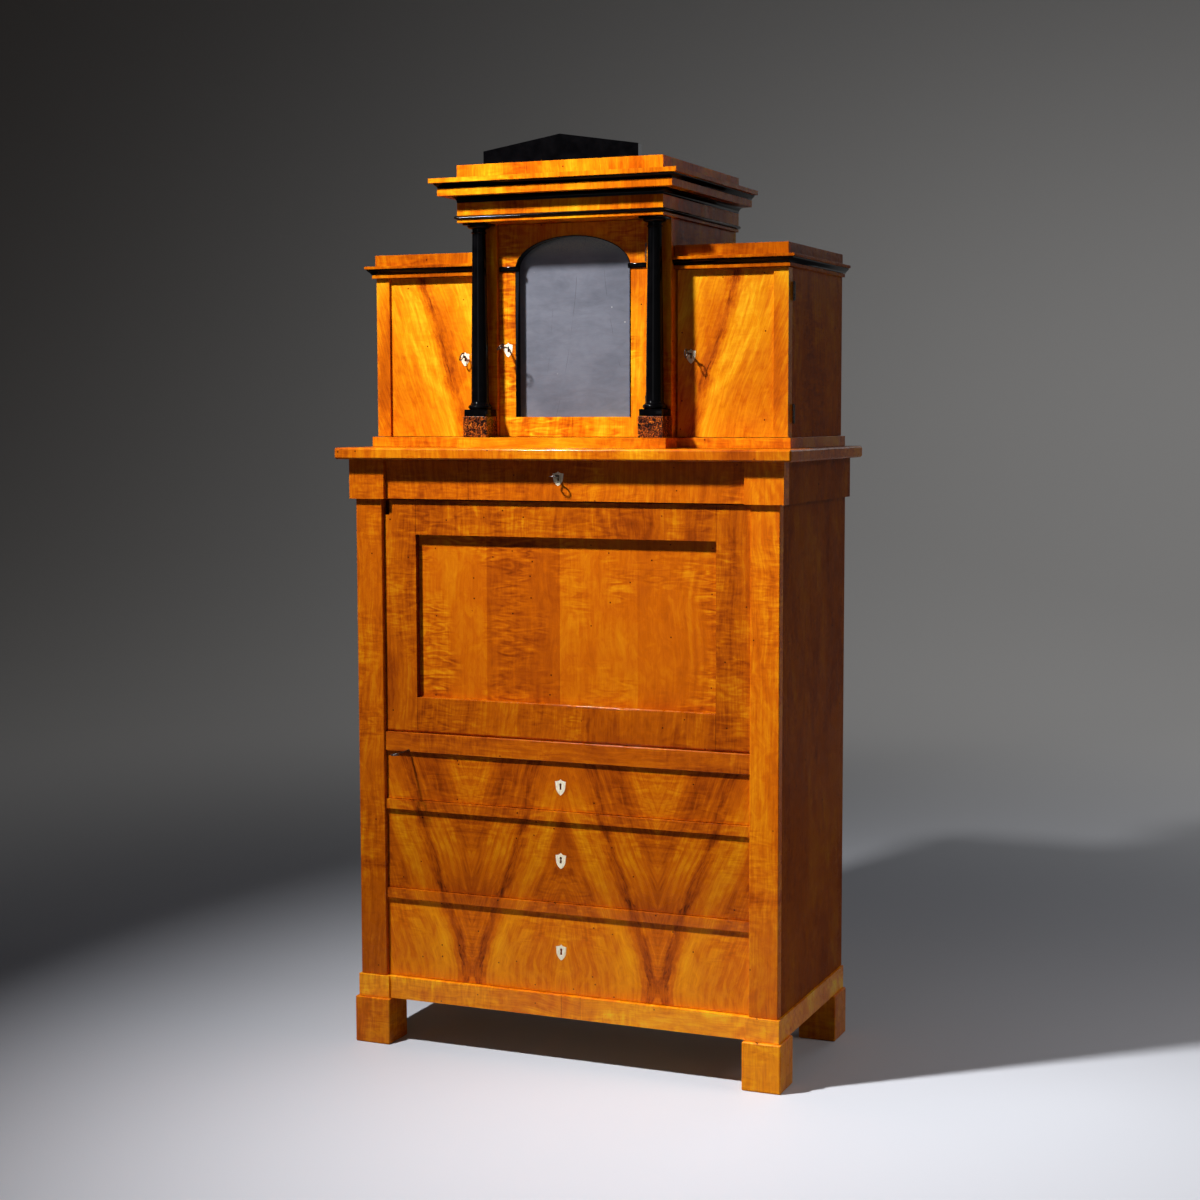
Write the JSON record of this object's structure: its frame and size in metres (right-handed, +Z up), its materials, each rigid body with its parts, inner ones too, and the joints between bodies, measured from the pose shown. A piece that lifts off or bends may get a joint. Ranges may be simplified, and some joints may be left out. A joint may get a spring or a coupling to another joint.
{
  "type": "secretaire chest",
  "caption": "Tall fall-front secretaire: long drawers, a hinged writing flap over pigeonholes, and an upper part with a mirrored door between columns and flanking cupboards.",
  "frame": {"origin": "on the floor under the middle of the overall box", "axes": "+X to the viewer's right, +Y from the front towards the back, +Z up"},
  "size_m": [1.0364, 0.5552, 1.9699],
  "materials": {
    "honey_veneer": "shellac-polished honey-coloured veneer",
    "ebonised_wood": "glossy black-stained wood",
    "softwood": "planed softwood, unpolished",
    "burl_veneer": "polished burl veneer",
    "wrought_iron": "worn dark iron",
    "brass": "aged brass",
    "bone": "pale polished bone",
    "mirror_glass": "old silvered glass"
  },
  "bodies": {
    "case": {"foot_front_left": "honey_veneer", "foot_front_right": "honey_veneer", "foot_rear_left": "honey_veneer", "foot_rear_right": "honey_veneer", "base_frame": "honey_veneer", "side_panel_left": "honey_veneer", "side_panel_right": "honey_veneer", "pilaster_left": "honey_veneer", "pilaster_right": "honey_veneer", "back_lower": "softwood", "bottom_board": "softwood", "drawer_rail_lower": "honey_veneer", "drawer_rail_upper": "honey_veneer", "sill_rail": "honey_veneer", "desk_ceiling": "honey_veneer", "desk_interior": "honey_veneer", "top_board": "honey_veneer", "stepped_plinth": "honey_veneer", "cupboard_left_case": "honey_veneer", "cupboard_right_case": "honey_veneer", "cupboard_left_ogee": "ebonised_wood", "cupboard_right_ogee": "ebonised_wood", "tabernacle_case": "honey_veneer", "entablature_bead": "ebonised_wood", "entablature_cove": "ebonised_wood", "entablature_cyma": "ebonised_wood", "pediment": "ebonised_wood", "pedestal_left": "burl_veneer", "pedestal_right": "burl_veneer", "column_left": "ebonised_wood", "column_right": "ebonised_wood"},
    "drawer_lower": {"drawer_lower_front": "honey_veneer", "drawer_lower_box": "softwood", "shield_lower": "bone"},
    "drawer_middle": {"drawer_middle_front": "honey_veneer", "drawer_middle_box": "softwood", "shield_middle": "bone"},
    "drawer_upper": {"drawer_upper_front": "honey_veneer", "drawer_upper_box": "softwood", "shield_upper": "bone"},
    "frieze_drawer": {"frieze_drawer_front": "honey_veneer", "shield_frieze": "bone"},
    "frieze_key": {"key_frieze": "wrought_iron"},
    "fall_front": {"flap_frame": "honey_veneer", "flap_panel": "honey_veneer", "stay_left": "brass", "stay_right": "brass"},
    "desk_drawer": {"desk_drawer_box": "honey_veneer"},
    "iron_pull": {"iron_pull_rod": "wrought_iron"},
    "cupboard_left_door": {"cupboard_left_door_leaf": "honey_veneer", "shield_cupboard_left": "bone"},
    "cupboard_left_key": {"key_cupboard_left": "wrought_iron"},
    "cupboard_right_door": {"cupboard_right_door_leaf": "honey_veneer", "shield_cupboard_right": "bone"},
    "cupboard_right_key": {"key_cupboard_right": "wrought_iron"},
    "mirror_door": {"mirror_door_frame": "honey_veneer", "mirror_edge": "ebonised_wood", "mirror_glass": "mirror_glass", "shield_mirror_door": "bone"},
    "mirror_key": {"key_mirror_door": "wrought_iron"}
  },
  "joints": [
    {"name": "drawer_lower_slide", "type": "slide", "parent": "case", "child": "drawer_lower", "axis": [0, -1, 0], "range_m": [0, 0.31]},
    {"name": "drawer_middle_slide", "type": "slide", "parent": "case", "child": "drawer_middle", "axis": [0, -1, 0], "range_m": [0, 0.31]},
    {"name": "drawer_upper_slide", "type": "slide", "parent": "case", "child": "drawer_upper", "axis": [0, -1, 0], "range_m": [0, 0.31]},
    {"name": "frieze_drawer_slide", "type": "slide", "parent": "case", "child": "frieze_drawer", "axis": [0, -1, 0], "range_m": [0, 0.28]},
    {"name": "desk_drawer_slide", "type": "slide", "parent": "case", "child": "desk_drawer", "axis": [0, -1, 0], "range_m": [0, 0.055]},
    {"name": "iron_pull_slide", "type": "slide", "parent": "case", "child": "iron_pull", "axis": [0, -1, 0], "range_m": [0, 0.02]},
    {"name": "fall_front_hinge", "type": "hinge", "parent": "case", "child": "fall_front", "pos_m": [0, -0.19215, 0.7054], "axis": [1, 0, 0], "range_deg": [0, 90]},
    {"name": "cupboard_left_hinge", "type": "hinge", "parent": "case", "child": "cupboard_left_door", "pos_m": [-0.4769, -0.09935, 1.45], "axis": [0, 0, -1], "range_deg": [0, 170]},
    {"name": "cupboard_right_hinge", "type": "hinge", "parent": "case", "child": "cupboard_right_door", "pos_m": [0.4769, -0.09935, 1.45], "axis": [0, 0, 1], "range_deg": [0, 170]},
    {"name": "mirror_door_hinge", "type": "hinge", "parent": "case", "child": "mirror_door", "pos_m": [0.1692, -0.13965, 1.45], "axis": [0, 0, 1], "range_deg": [0, 90]},
    {"name": "frieze_key_turn", "type": "hinge", "parent": "frieze_drawer", "child": "frieze_key", "pos_m": [-0.0028, -0.20765, 1.26249], "axis": [0, 1, 0], "range_deg": [0, 180]},
    {"name": "cupboard_left_key_turn", "type": "hinge", "parent": "cupboard_left_door", "child": "cupboard_left_key", "pos_m": [-0.2607, -0.11965, 1.51618], "axis": [0, 1, 0], "range_deg": [0, 180]},
    {"name": "cupboard_right_key_turn", "type": "hinge", "parent": "cupboard_right_door", "child": "cupboard_right_key", "pos_m": [0.2607, -0.11965, 1.51618], "axis": [0, 1, 0], "range_deg": [0, 180]},
    {"name": "mirror_key_turn", "type": "hinge", "parent": "mirror_door", "child": "mirror_key", "pos_m": [-0.15, -0.13565, 1.53408], "axis": [0, 1, 0], "range_deg": [0, 180]}
  ]
}
